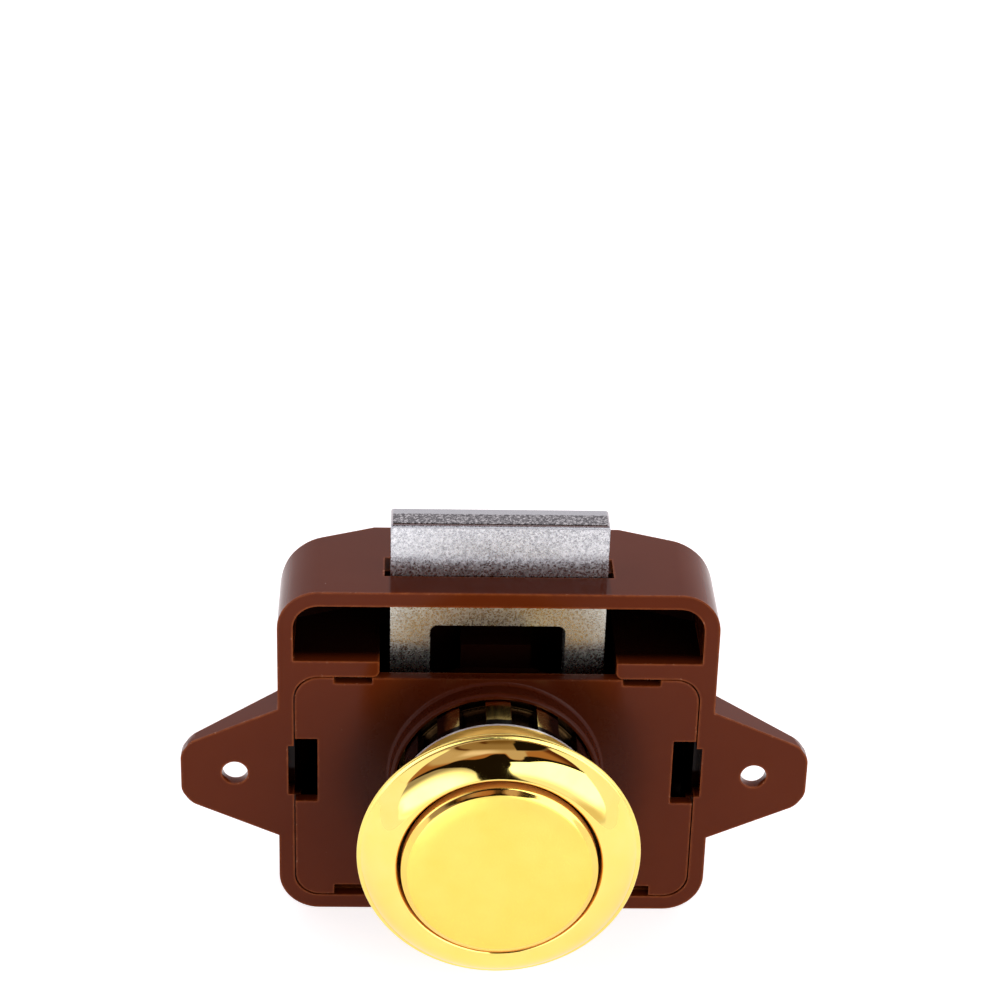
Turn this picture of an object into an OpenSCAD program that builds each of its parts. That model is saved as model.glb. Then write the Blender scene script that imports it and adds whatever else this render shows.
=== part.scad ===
// Push button cabinet lock: a moulded case that screws to the inside of a door,
// a spring bolt that slides out of its top, and a push-push button in a ring on the door's face.
// Origin: on the button's axis, in the plane where the case meets the door.
// +X right, +Y into the cabinet, +Z the way the bolt slides out. Millimetres, drawn locked.

/* [Case] */
// Width of the case
case_w = 53.3; // [52.6:0.1:55]
// Height of the case above the button's axis
case_above = 25.5; // [25:0.1:27]
// Height of the case below the button's axis
case_below = 20; // [19.6:0.1:22]
// Depth of the case behind the door
case_d = 16.7; // [16.4:0.1:18]
// Thickness of the case walls
wall = 1.9; // [1.6:0.1:2.1]
// Radius of the corners seen from the front
corner_r = 5; // [4:0.1:6]
// Width of the flat middle of the back
back_flat_w = 30.4; // [26:0.2:34]
// Depth that the slanted parts of the back take off at the sides
back_slant_d = 4.9; // [4:0.1:6]
// Radius of the two upright edges where they meet the sides
back_r = 2.6; // [2.4:0.1:4]
// Height of the open pockets beside the bolt
pocket_h = 7.6; // [7:0.1:8]
// Thickness of the cross wall under the pockets
cross_t = 2.15; // [1.8:0.05:2.4]
// Depth of the finger recess in each side wall
side_recess = 0.7; // [0.4:0.1:0.9]

/* [Ears] */
// Distance between the two screw holes
screw_spacing = 64; // [62:0.5:68]
// Diameter of the screw holes
screw_d = 3.2; // [2.8:0.1:4]
// Distance from a screw hole's centre to the ear's tip
ear_reach = 6.6; // [5:0.1:8]
// Height of an ear where it joins the case
ear_root_h = 18.3; // [16:0.1:20]
// Height of an ear at its tip
ear_tip_h = 7.7; // [6.5:0.1:9]
// Thickness of an ear at the screw hole
ear_t = 1.5; // [1.2:0.1:1.9]
// Width of the ribs along an ear's slanted edges
ear_rib_w = 1.3; // [1:0.1:1.8]
// Depth of those ribs where they join the case
ear_rib_d = 4.7; // [3.5:0.1:5.5]

/* [Front insert] */
// Thickness of the front insert
insert_t = 1.5; // [1.3:0.1:1.7]
// Gap between the insert and the case
insert_gap = 0.15; // [0.1:0.05:0.2]
// Width of the four small notches in its upper and lower edges
notch_w = 4.6; // [3:0.1:6]
// Depth of the two upper notches
notch_depth = 0.8; // [0.6:0.1:1.2]
// Depth of the two lower notches
notch_depth_below = 1.4; // [1:0.1:1.8]
// Distance from the middle to the centre of a small notch
notch_x = 17.5; // [16.9:0.1:18.5]
// Height of the two release windows in its sides
release_h = 9; // [8:0.1:10]
// Outer diameter of the collar that centres in the door's hole
collar_d = 26; // [25.8:0.1:26.6]
// Wall of the collar
collar_wall = 0.75; // [0.6:0.05:0.9]
// Height of the collar
collar_h = 2.4; // [1.5:0.1:4]

/* [Neck and ring] */
// Thickness of the door that the ring clamps
door_t = 16.5; // [15:0.5:19]
// Wall of the neck sleeve
sleeve_wall = 0.96; // [0.9:0.02:1.0]
// How far the sleeve's front lip stands in to hold the button
sleeve_lip = 0.44; // [0.4:0.02:0.5]
// Number of windows round the neck sleeve
window_n = 12; // [8:1:14]
// Width of one of these windows
window_w = 3.2; // [2:0.1:3.6]
// Outer diameter of the ring
ring_d = 33.5; // [31:0.1:36]
// Height of the ring's lip above the door
ring_h = 3.6; // [3.2:0.1:4.5]
// Height of the ring's rim above the door
rim_h = 1.1; // [1:0.1:1.6]
// Length of the ring's skirt inside the door's hole
skirt_l = 7.85; // [5:0.05:9]

/* [Button] */
// Gap between the button's head and the ring
head_gap = 0.45; // [0.3:0.05:0.5]
// Height of the button's head above the ring's lip when pushed in
button_proud = 0.85; // [0.5:0.05:1.5]
// Thickness of the head at its edge
head_t = 1.9; // [1.5:0.1:2.5]
// Diameter of the finger grip behind the head
grip_d = 15.6; // [14:0.1:17]
// How far the button comes out
button_travel = 12; // [11:0.25:12]

/* [Bolt] */
// Width of the bolt
bolt_w = 26.3; // [25:0.1:27]
// Thickness of the bolt
bolt_t = 4.3; // [4.1:0.1:4.5]
// Depth of the bolt's front face behind the door
bolt_y = 4.4; // [4.3:0.1:4.6]
// How far the bolt stands out of the case when locked
bolt_out = 7; // [6:0.1:7.2]
// How far the bolt slides
bolt_travel = 7.2; // [6.6:0.1:7.4]
// Radius of the bolt's upper edges
bolt_edge_r = 0.45; // [0.2:0.05:0.8]
// Width of the opening between the bolt's legs
fork_w = 16.4; // [16.2:0.1:17]
// Distance from the case's top down to that opening
window_drop = 6.95; // [6:0.05:8]
// Height of the two shelves that ride on the plunger's ramps
shelf_h = 1.3; // [1.2:0.1:2]

/* [Plunger] */
// Width of the plunger
plunger_w = 15.8; // [15.4:0.1:15.8]
// Height of the plunger above the button's axis
plunger_up = 8; // [7.8:0.1:8.2]
// Height of the plunger below the button's axis
plunger_down = 6.8; // [6.6:0.1:6.9]
// Depth of the heart-shaped latch groove
groove_depth = 1.3; // [1:0.1:1.4]

/* [Springs and latch] */
// Wire of the main spring
main_wire = 0.8; // [0.7:0.05:0.9]
// Mean diameter of the main spring
main_d = 6.8; // [6.6:0.1:7]
// Turns of the main spring
main_turns = 9; // [6:1:11]
// Wire of the two return springs
return_wire = 0.6; // [0.4:0.05:0.7]
// Mean diameter of the return springs
return_d = 3.8; // [3.6:0.1:4]
// Turns of a return spring
return_turns = 6; // [4:1:7]
// Wire of the latch pin
latch_wire = 1.2; // [1:0.05:1.2]
// Thickness of the leaf spring under the latch pin
leaf_t = 0.4; // [0.3:0.05:0.5]

/* [Hidden] */

$fn = 96;
slide_gap = 0.2;
run_gap = 0.08;
seat_gap = 0.05;
spring_gap = 0.3;
edge_cut = 0.35;
cut = 1;

// Case
inner_x = case_w / 2 - wall;
inner_top = case_above - wall;
inner_bottom = -case_below + wall;
inner_back = case_d - wall;
inner_r = corner_r - wall;
back_slant = atan(back_slant_d / (case_w / 2 - back_flat_w / 2));
cross_top = inner_top - pocket_h;
cross_z = cross_top - cross_t;
bolt_gap_x = bolt_w / 2 + 1.2;
bolt_slot_x = bolt_w / 2 + 0.7;
cross_r = 0.85;
stop_rib_h = 4.35;
ledge_w = 0.8;
ledge_t = 1.3;
rail_y = bolt_y + bolt_t + slide_gap;
bolt_rail_w = 2.2;
bolt_rail_x = bolt_w / 2 - 1 - bolt_rail_w;
guide_x = plunger_w / 2 + slide_gap;
guide_t = 1.3;
guide_h = 11;
stop_boss_w = 8.7;
stop_boss_h = 4.7;

// Ears
tip_x = screw_spacing / 2 + ear_reach;
tip_r = 1.2;
tip_t = 1.3;

// Front insert
insert_x = inner_x - insert_gap;
insert_top = cross_z - insert_gap;
insert_bottom = inner_bottom + insert_gap;
insert_r = inner_r;
release_w = 2.75;
release_z = 0.45;
tube_end = bolt_y - slide_gap;
tube_wall = 1.35;
bore_r = collar_d / 2 - collar_wall;
arm_t = 1.1;
arm_h = 3.2;
arm_x = insert_x - release_w - arm_t;
arm_z = release_z + release_h / 2 - 0.2 - arm_h;
hook_y = 8.1;
hook_t = 1.4;
hook_out = 1.4;
catch_y = 7;

// Neck and ring
sleeve_r = bore_r - 0.15;
sleeve_bore_r = sleeve_r - sleeve_wall;
sleeve_back = 1;
sleeve_front = -door_t + 0.8;
lip_t = 1.1;
lip_r = sleeve_bore_r - sleeve_lip;
window_back = -1.3;
window_front = -7.4;
ring_r = ring_d / 2;
ring_hole_r = sleeve_r - 0.1;
skirt_r = sleeve_r + 0.75;
ring_bore_r = sleeve_r + 0.03;
rim_r = 0.3;
rim_cut = rim_h - rim_r - 0.1;
brim_w = 0.55;
face_tilt = 61;
lip_round = 0.3;
ring_crown_r = ring_hole_r + lip_round;

// Guide bush
bush_front = sleeve_back + 0.15;
bush_r = bore_r - 0.03;
bush_gap = 0.12;

// Button
button_r = ring_hole_r - head_gap;
barrel_r = lip_r - 0.1;
grip_l = 10;
head_y = -door_t - ring_h - button_proud;
grip_y = head_y + head_t;
flare_y = grip_y + grip_l;
flange_r = sleeve_bore_r - run_gap;
flange_t = 1.7;
flange_front = sleeve_front + lip_t + seat_gap + button_travel;
barrel_back = flange_front + flange_t;
cap_wall = 1.2;
barrel_bore_r = barrel_r - 0.75;
disc_rise = 0.3;
disc_dome = 0.15;
disc_edge = 0.4;
head_wall = 1.7;
boss_r = 2.7;

// Plunger
ramp_slope = bolt_travel / button_travel;
ramp_gap = 0.15;
plunger_front = flare_y + seat_gap;
plunger_back = inner_back - 0.4;
plunger_r = barrel_bore_r - seat_gap;
web_t = 5;
web_back = plunger_front + web_t;
spring_bore_r = main_d / 2 + main_wire / 2 + spring_gap;
coil_rings = 8;
spring_peg_r = main_d / 2 * cos(180 / coil_rings) - main_wire / 2 - 0.1;
lead_in = 2;
lead_drop = 1.45;

// Screw between cap and plunger
screw_head_r = 2.6;
screw_head_t = 1.6;
screw_shank_r = 1.2;
screw_l = 8;
recess_l = 2.8;
recess_w = 0.6;
recess_depth = 0.7;

// Bolt
bolt_top = case_above + bolt_out;
window_top = case_above - window_drop;
shelf_z = plunger_up + ramp_gap;
shelf_top = shelf_z + shelf_h;
shelf_x = spring_bore_r + 0.4;
leg_end = inner_bottom + bolt_travel + slide_gap;
shoulder_x = bolt_gap_x + 0.85;
stop_boss_z = shelf_z + 0.5;
lug_x = arm_x - 0.3;
lug_t = 3;
return_l = 8.8;
lug_top = cross_z - return_l;
return_x = shoulder_x + return_d / 2 + return_wire / 2 + spring_gap;
return_y = bolt_y + bolt_t / 2;
seat_peg_r = return_d / 2 * cos(180 / coil_rings) - return_wire / 2 - 0.1;
seat_peg_h = 1.2;

// Latch pin: pivot behind, tip in the groove under the plunger
pivot_y = 12.2;
tip_y = -2;
latch_z = -plunger_down - latch_wire / 2 - 0.8;
tip_side = 1.2;
island_end = 3.5;
island_start = 0.8;
heart_dip = 1;
latch_reach = norm([tip_side, pivot_y - tip_y]);
latch_turn = atan(tip_side / (pivot_y - tip_y));
groove_w = latch_wire + 0.3;
groove_top = -plunger_down + groove_depth;
pivot_l = 4.4;
pivot_block_w = 6;
pivot_block_y = 10.8;
slot_swing = 6;
leaf_w = 5;
clip_y = pivot_y - 0.8;
foot_y = inner_back - 1;
knee_y = 8.5;
blade_y = 5.9;
blade_l = 1;

case_colour = [0.36, 0.18, 0.14];
gold_colour = [0.95, 0.78, 0.30];
neck_colour = [0.60, 0.46, 0.16];
steel_colour = [0.66, 0.66, 0.64];
inner_colour = [0.26, 0.14, 0.11];
bush_colour = [0.86, 0.85, 0.80];

// A 2D front view (x, z) given depth from y0 to y1
module front_view(y0, y1)
    translate([0, y1, 0]) rotate([90, 0, 0]) linear_extrude(y1 - y0) children();

// A 2D side view (y, z) given width from x0 to x1
module side_view(x0, x1)
    translate([x0, 0, 0]) rotate([90, 0, 90]) linear_extrude(x1 - x0) children();

// A 2D half section (radius, y) turned round the button's axis
module turned()
    rotate([-90, 0, 0]) rotate_extrude() children();

// A cylinder along the button's axis
module rod(r, y0, y1)
    translate([0, y0, 0]) rotate([-90, 0, 0]) cylinder(r = r, h = y1 - y0);

module block(x0, x1, y0, y1, z0, z1)
    translate([x0, y0, z0]) cube([x1 - x0, y1 - y0, z1 - z0]);

module both_sides() {
    children();
    mirror([1, 0, 0]) children();
}

// Rectangle with true round corners, between two opposite corner points
module round_rect(x0, x1, y0, y1, r) {
    translate([x0 + r, y0]) square([x1 - x0 - 2 * r, y1 - y0]);
    translate([x0, y0 + r]) square([x1 - x0, y1 - y0 - 2 * r]);
    for (x = [x0 + r, x1 - r], y = [y0 + r, y1 - r])
        translate([x, y]) circle(r = r);
}

// Plan of the case (x, y), drawn in by a wall: a flat back, slanted towards the sides
module case_plan(in) {
    half = case_w / 2 - in;
    flat = back_flat_w / 2 - in * tan(back_slant / 2);
    r = back_r - in;
    centre = [case_w / 2 - back_r, case_d - back_slant_d - back_r * tan(45 - back_slant / 2)];
    touch = centre + r * [sin(back_slant), cos(back_slant)];
    polygon([[-half, -cut], [half, -cut], [half, centre[1]], touch, [flat, case_d - in],
             [-flat, case_d - in], [-touch[0], touch[1]], [-half, centre[1]]]);
    for (s = [-1, 1]) translate([s * centre[0], centre[1]]) circle(r = r);
}

module case_body(in, y0) {
    intersection() {
        front_view(y0, case_d - in)
            round_rect(-case_w / 2 + in, case_w / 2 - in,
                       -case_below + in, case_above - in, corner_r - in);
        translate([0, 0, -case_below - cut])
            linear_extrude(case_above + case_below + 2 * cut) case_plan(in);
    }
}

// Upper and lower edges of an ear at a given distance from the middle
function ear_half(x) = let (t = (x - case_w / 2) / (tip_x - case_w / 2))
    (ear_root_h * (1 - t) + ear_tip_h * t) / 2;

module ear_outline() {
    polygon([[case_w / 2 - cut, -ear_half(case_w / 2)], [case_w / 2, -ear_half(case_w / 2)],
             [tip_x - tip_r, -ear_half(tip_x - tip_r)], [tip_x, -ear_half(tip_x) + tip_r],
             [tip_x, ear_half(tip_x) - tip_r], [tip_x - tip_r, ear_half(tip_x - tip_r)],
             [case_w / 2, ear_half(case_w / 2)], [case_w / 2 - cut, ear_half(case_w / 2)]]);
}

module ear() {
    difference() {
        union() {
            front_view(0, ear_t) ear_outline();
            intersection() {
                front_view(0, ear_rib_d) difference() {
                    ear_outline();
                    polygon([for (s = [[-1, case_w / 2 - 2 * cut], [-1, tip_x + cut],
                                       [1, tip_x + cut], [1, case_w / 2 - 2 * cut]])
                             [s[1], s[0] * (ear_half(s[1]) - ear_rib_w)]]);
                }
                translate([0, 0, -ear_root_h])
                    linear_extrude(2 * ear_root_h)
                        polygon([[case_w / 2 - 2 * cut, 0], [tip_x, 0], [tip_x, tip_t],
                                 [case_w / 2, ear_rib_d], [case_w / 2 - 2 * cut, ear_rib_d]]);
            }
        }
        translate([screw_spacing / 2, 0, 0]) rod(screw_d / 2, -cut, ear_rib_d + cut);
    }
}

// Opening that the insert fills, drawn in by a margin
module insert_opening(in)
    round_rect(-inner_x + in, inner_x - in, inner_bottom + in, cross_z - in,
               inner_r - min(in, inner_r / 2));

module case_shell() color(case_colour) {
    difference() {
        union() {
            difference() {
                case_body(0, 0);
                case_body(wall, -cut);
            }
            case_inside();
            both_sides() ear();
        }
        // Slot in the top for the bolt
        block(-bolt_slot_x, bolt_slot_x, bolt_y - slide_gap, rail_y, inner_top - cut, case_above + cut);
        // Recesses beside the insert's release windows
        both_sides() block(inner_x - cut, inner_x + side_recess, -cut, 2 * insert_t,
                           release_z - release_h / 2 + 1, release_z + release_h / 2 - 1);
        // Hole for the latch pin's bent end
        translate([0, pivot_y, latch_z - pivot_l - cut])
            cylinder(r = latch_wire / 2 + seat_gap, h = pivot_l + cut, $fn = 48);
    }
}

// Everything that is moulded inside the case
module case_inside() {
    intersection() {
        union() {
            both_sides() {
                // Cross wall, and the round corner it makes for the insert
                front_view(0, inner_back + cut) {
                    translate([bolt_gap_x + cross_r, cross_z]) square([inner_x, cross_t]);
                    translate([bolt_gap_x, cross_z + cross_r]) square([inner_x, cross_t - cross_r]);
                    translate([bolt_gap_x + cross_r, cross_z + cross_r]) circle(r = cross_r);
                }
                front_view(0, insert_t + ledge_t) difference() {
                    translate([inner_x - inner_r, cross_z - inner_r]) square(inner_r + cut / 2);
                    translate([inner_x - inner_r, cross_z - inner_r]) circle(r = inner_r);
                }
                // Rib that the bolt's shoulder meets when it is out
                block(bolt_gap_x, shoulder_x, insert_t + seat_gap, inner_back + cut,
                      cross_z - stop_rib_h, cross_z + cross_r);
                // Rails that back the bolt
                block(bolt_rail_x, bolt_rail_x + bolt_rail_w, rail_y, inner_back + cut,
                      inner_bottom - cut, inner_top + cut);
                // Rails that guide the plunger's tail
                block(guide_x, guide_x + guide_t, rail_y, inner_back + cut, -guide_h / 2, guide_h / 2);
                // Catch for the insert's hook
                block(arm_x + arm_t + slide_gap, inner_x + cut, catch_y, hook_y - seat_gap,
                      arm_z, arm_z + arm_h);
            }
            insert_ledge();
            // Boss behind the bolt's opening, which keeps the bolt off the back wall
            block(-stop_boss_w / 2, stop_boss_w / 2, rail_y, inner_back + cut,
                  stop_boss_z, stop_boss_z + stop_boss_h);
            // Peg inside the main spring
            rod(spring_peg_r, inner_back - 2, inner_back + cut);
            // Block for the latch pin's pivot
            block(-pivot_block_w / 2, pivot_block_w / 2, pivot_block_y, inner_back + cut,
                  latch_z - latch_wire / 2 - 0.15 - pivot_l, latch_z - latch_wire / 2 - 0.15);
            leaf_clip();
        }
        case_body(wall / 2, 0);
    }
}

// Ledge behind the insert's edge, open where the bolt and the release windows are
module insert_ledge() {
    front_view(insert_t + seat_gap, insert_t + ledge_t) difference() {
        union() {
            insert_opening(0);
            translate([-inner_x - wall / 2, inner_bottom + inner_r])
                square([2 * inner_x + wall, cross_z - inner_bottom - 2 * inner_r]);
        }
        insert_opening(ledge_w);
        translate([-bolt_gap_x, 0]) square([2 * bolt_gap_x, 2 * cross_z]);
        translate([-2 * inner_x, release_z - release_h / 2]) square([4 * inner_x, release_h]);
    }
}

// Bridge that holds the leaf spring's foot on the floor
module leaf_clip() {
    difference() {
        block(-leaf_w / 2 - 1, leaf_w / 2 + 1, clip_y, inner_back + cut,
              inner_bottom - cut, inner_bottom + leaf_t + 1.3);
        block(-leaf_w / 2 - 0.1, leaf_w / 2 + 0.1, clip_y - cut, inner_back - 0.6,
              inner_bottom, inner_bottom + leaf_t + 0.1);
    }
}

module insert_cover() color(case_colour) {
    difference() {
        union() {
            front_view(0, insert_t)
                round_rect(-insert_x, insert_x, insert_bottom, insert_top, insert_r);
            intersection() {
                rod(bore_r + tube_wall, insert_t - seat_gap, tube_end);
                block(-2 * bore_r, 2 * bore_r, 0, tube_end + cut, -2 * bore_r, bore_r + 0.65);
            }
            turned()
                polygon([[bore_r - cut, insert_t], [bore_r - cut, -collar_h],
                         [collar_d / 2 - edge_cut, -collar_h], [collar_d / 2, -collar_h + edge_cut],
                         [collar_d / 2, -edge_cut], [collar_d / 2 + edge_cut, 0],
                         [collar_d / 2 + edge_cut, insert_t]]);
            both_sides() {
                block(arm_x, arm_x + arm_t, insert_t - seat_gap, hook_y + hook_t, arm_z, arm_z + arm_h);
                block(arm_x, arm_x + arm_t + hook_out, hook_y, hook_y + hook_t, arm_z, arm_z + arm_h);
            }
        }
        rod(bore_r, -collar_h - cut, tube_end + cut);
        both_sides() {
            for (z = [[insert_top - notch_depth, insert_top + cut],
                      [insert_bottom - cut, insert_bottom + notch_depth_below]])
                block(notch_x - notch_w / 2, notch_x + notch_w / 2, -cut, insert_t + cut, z[0], z[1]);
            block(insert_x - release_w, insert_x + cut, -cut, insert_t + cut,
                  release_z - release_h / 2, release_z + release_h / 2);
        }
    }
}

// Cross-section of the plunger, drawn out by a gap
module plunger_section(gap) {
    intersection() {
        circle(r = plunger_r + gap);
        translate([-plunger_w / 2 - gap, -plunger_down - gap])
            square([plunger_w + 2 * gap, plunger_up + plunger_down + 2 * gap]);
    }
}

module guide_bush() color(bush_colour) {
    difference() {
        rod(bush_r, bush_front, tube_end - seat_gap);
        front_view(bush_front - cut, tube_end + cut) plunger_section(bush_gap);
        // Room for the latch pin to swing
        block(-slot_swing / 2, slot_swing / 2, bush_front - cut, tube_end + cut,
              latch_z - latch_wire, -plunger_down);
    }
}

module neck_sleeve() color(neck_colour) {
    difference() {
        rod(sleeve_r, sleeve_front, sleeve_back);
        rod(sleeve_bore_r, sleeve_front + lip_t, sleeve_back + cut);
        rod(lip_r, sleeve_front - cut, sleeve_back + cut);
        for (i = [0 : window_n - 1])
            rotate([0, (i + 0.5) * 360 / window_n, 0])
                block(-window_w / 2, window_w / 2, window_front, window_back,
                      sleeve_bore_r - cut, sleeve_r + cut);
    }
}

// Point (radius, y) on the ring's domed face, from the lip's crown at t = 0 to the brim at t = 1
function ring_face(t) =
    [ring_crown_r + (ring_r - brim_w - ring_crown_r) * sin(t * face_tilt) / sin(face_tilt),
     -door_t - ring_h + (ring_h - rim_h - 0.2) * (1 - cos(t * face_tilt)) / (1 - cos(face_tilt))];

module rosette_ring() color(gold_colour) {
    turned() {
        polygon(concat(
            [[ring_hole_r, sleeve_front], [ring_hole_r, -door_t - ring_h + lip_round]],
            [for (i = [0 : 12]) ring_face(i / 12)],
            [[ring_r - rim_r, -door_t - rim_h], [ring_r, -door_t - rim_h + rim_r],
             [ring_r, -door_t - rim_cut], [ring_r - 0.8 * rim_cut, -door_t], [skirt_r, -door_t],
             [skirt_r, -door_t + skirt_l - edge_cut], [skirt_r - edge_cut, -door_t + skirt_l],
             [ring_bore_r, -door_t + skirt_l], [ring_bore_r, sleeve_front]]));
        translate([ring_crown_r, -door_t - ring_h + lip_round]) circle(r = lip_round, $fn = 32);
        translate([ring_r - rim_r, -door_t - rim_h + rim_r]) circle(r = rim_r, $fn = 32);
    }
}

// Radius of the finger grip at a given depth
function grip_r(y) = let (t = (y - grip_y) / (flare_y - grip_y))
    grip_d / 2 + (barrel_r - grip_d / 2) * pow(t, 1.5);

module button_cap() color(gold_colour) {
    steps = [for (i = [0 : 6]) grip_y + i / 6 * (flare_y - grip_y)];
    turned() difference() {
        polygon(concat(
            [for (i = [0 : 6]) [(button_r - disc_edge) * i / 6,
                                head_y - disc_rise - disc_dome * (1 - pow(i / 6, 2))]],
            [[button_r, head_y + 0.2], [button_r, grip_y - edge_cut],
             [button_r - edge_cut, grip_y]],
            [for (y = steps) [grip_r(y), y]],
            [[barrel_r, flange_front], [flange_r, flange_front],
             [flange_r, barrel_back], [0, barrel_back]]));
        // Hollow behind the head, and the barrel's bore
        polygon(concat(
            [[boss_r, grip_y + head_wall - head_t]],
            [for (y = steps) [grip_r(y) - cap_wall, max(y, grip_y + head_wall - head_t)]],
            [[barrel_bore_r, flare_y], [barrel_bore_r, barrel_back + cut], [0, barrel_back + cut],
             [0, plunger_front - seat_gap], [boss_r, plunger_front - seat_gap]]));
        // Pilot hole for the screw
        translate([0, web_back - screw_l - 0.4]) square([screw_shank_r + 0.02, screw_l]);
    }
}

module cap_screw() color(steel_colour) {
    difference() {
        union() {
            rod(screw_shank_r, web_back - screw_l, web_back + screw_head_t / 2);
            rod(screw_head_r, web_back + 0.02, web_back + screw_head_t);
        }
        // Cross recess
        for (a = [0, 90])
            rotate([0, a, 0])
                block(-recess_l / 2, recess_l / 2, web_back + screw_head_t - recess_depth,
                      web_back + screw_head_t + cut, -recess_w / 2, recess_w / 2);
    }
}

function ramp_z(y) = plunger_up - ramp_slope * (y - bolt_y);

module plunger() color(inner_colour) {
    difference() {
        front_view(plunger_front, plunger_back) plunger_section(0);
        // Ramp that lifts the bolt, and the lead-in at its tail
        side_view(-plunger_w, plunger_w)
            polygon([[bolt_y, ramp_z(bolt_y)],
                     [plunger_back - lead_in, ramp_z(plunger_back - lead_in)],
                     [plunger_back + cut, ramp_z(plunger_back + cut) - lead_drop],
                     [plunger_back + cut, 2 * plunger_up], [bolt_y, 2 * plunger_up]]);
        rod(spring_bore_r, web_back, plunger_back + cut);
        rod(screw_shank_r + 0.25, plunger_front - cut, web_back + cut);
        latch_groove();
    }
}

// One straight lane of the latch groove, with round ends
module lane(a, b) {
    d = b - a;
    translate(a) rotate(atan2(d[1], d[0])) translate([0, -groove_w / 2]) square([norm(d), groove_w]);
    for (p = [a, b]) translate(p) circle(d = groove_w, $fn = 32);
}

// Heart-shaped groove: out along the first lane, back round the island to the rest notch
module latch_groove() {
    rest = [-tip_side, tip_y];
    out = [tip_side, tip_y + button_travel];
    back = [[2 * tip_side + 0.1, out[1] - island_end], [2 * tip_side - 0.1, tip_y + island_start],
            [tip_side - 0.3, tip_y - heart_dip]];
    translate([0, 0, -plunger_down - cut]) linear_extrude(groove_depth + cut) {
        lane(rest, out);
        lane(out, back[0]);
        lane(back[0], back[1]);
        lane(back[1], back[2]);
        lane(back[2], rest);
    }
}

// Helical tube along +Z: mean radius, wire radius, length over the wire, turns
module coil_spring(r, w, l, turns) {
    rings = coil_rings * turns;
    sides = 6;
    points = [for (i = [0 : rings]) let (a = 360 * i / coil_rings, z = w + (l - 2 * w) * i / rings)
              for (j = [0 : sides - 1]) let (b = 360 * j / sides)
              [(r + w * cos(b)) * cos(a), (r + w * cos(b)) * sin(a), z + w * sin(b)]];
    walls = [for (i = [0 : rings - 1], j = [0 : sides - 1])
             let (k = (j + 1) % sides, p = i * sides, q = p + sides)
             each [[p + j, p + k, q + k], [p + j, q + k, q + j]]];
    ends = [for (j = [1 : sides - 2]) each
            [[0, j + 1, j], [rings * sides, rings * sides + j, rings * sides + j + 1]]];
    echo(least_gap_between_turns = (l - 2 * w) / turns - 2 * w);
    polyhedron(points = points, faces = [for (f = concat(walls, ends)) [f[2], f[1], f[0]]]);
}

module main_spring() color(steel_colour) {
    start = web_back + seat_gap;
    translate([0, start, 0]) rotate([-90, 0, 0])
        coil_spring(main_d / 2, main_wire / 2, inner_back - seat_gap - start, main_turns);
}

module bolt_outline() {
    difference() {
        union() {
            round_rect(-bolt_w / 2, bolt_w / 2, leg_end, bolt_top, 0.5);
            translate([-shoulder_x, lug_top - lug_t])
                square([2 * shoulder_x, cross_z - stop_rib_h - slide_gap - lug_top + lug_t]);
            translate([-lug_x, lug_top - lug_t]) square([2 * lug_x, lug_t]);
        }
        // Opening between the legs, narrower where the shelves stand in
        round_rect(-fork_w / 2, fork_w / 2, shelf_top, window_top, 0.9);
        translate([-shelf_x, leg_end - cut]) square([2 * shelf_x, cut + window_top - 1 - leg_end]);
        translate([-fork_w / 2, leg_end - cut])
            square([fork_w, cut + shelf_z - leg_end - ramp_slope * bolt_t]);
    }
}

module bolt_plate() color(steel_colour) {
    difference() {
        union() {
            intersection() {
                front_view(bolt_y, bolt_y + bolt_t) bolt_outline();
                side_view(-lug_x, lug_x)
                    round_rect(bolt_y, bolt_y + bolt_t, leg_end - cut, bolt_top, bolt_edge_r);
            }
            both_sides()
                translate([return_x, return_y, lug_top - cut])
                    cylinder(r = seat_peg_r, h = seat_peg_h + cut, $fn = 48);
        }
        // Slanted underside of the shelves, parallel to the plunger's ramps
        side_view(-fork_w / 2, fork_w / 2)
            polygon([[bolt_y - cut, ramp_z(bolt_y - cut) + ramp_gap],
                     [bolt_y + bolt_t + cut, ramp_z(bolt_y + bolt_t + cut) + ramp_gap],
                     [bolt_y + bolt_t + cut, -plunger_down], [bolt_y - cut, -plunger_down]]);
    }
}

module return_spring() {
    translate([return_x, return_y, lug_top + seat_gap])
        coil_spring(return_d / 2, return_wire / 2, cross_z - lug_top - 2 * seat_gap, return_turns);
}

module return_spring_left() color(steel_colour) mirror([1, 0, 0]) return_spring();

module return_spring_right() color(steel_colour) return_spring();

module latch_pin() color(steel_colour) {
    r = latch_wire / 2;
    translate([0, pivot_y, latch_z]) {
        translate([0, 0, -pivot_l + r]) cylinder(r = r, h = pivot_l - r, $fn = 48);
        sphere(r = r, $fn = 48);
        rotate([0, 0, -latch_turn]) {
            translate([0, -latch_reach, 0]) rotate([-90, 0, 0]) cylinder(r = r, h = latch_reach, $fn = 48);
            translate([0, -latch_reach, 0]) sphere(r = r, $fn = 48);
            translate([0, -latch_reach, 0]) cylinder(r = r, h = groove_top - latch_z - 0.25, $fn = 48);
        }
    }
}

// Leaf spring: foot on the case's floor, blade up to the latch pin
module latch_spring() color(steel_colour) {
    floor_z = inner_bottom + seat_gap;
    knee = [knee_y, floor_z];
    top = [blade_y, latch_z - latch_wire / 2 - 0.1];
    side_view(-leaf_w / 2, leaf_w / 2)
        polygon([[foot_y, floor_z], [foot_y, floor_z + leaf_t],
                 [knee[0] + leaf_t, knee[1] + leaf_t], [top[0] + 1.2 * leaf_t, top[1]],
                 [top[0] - blade_l, top[1]], [top[0] - blade_l, top[1] - leaf_t],
                 [top[0], top[1] - leaf_t], knee]);
}

case_shell();
insert_cover();
guide_bush();
neck_sleeve();
rosette_ring();
button_cap();
cap_screw();
plunger();
main_spring();
bolt_plate();
return_spring_left();
return_spring_right();
latch_pin();
latch_spring();
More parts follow.
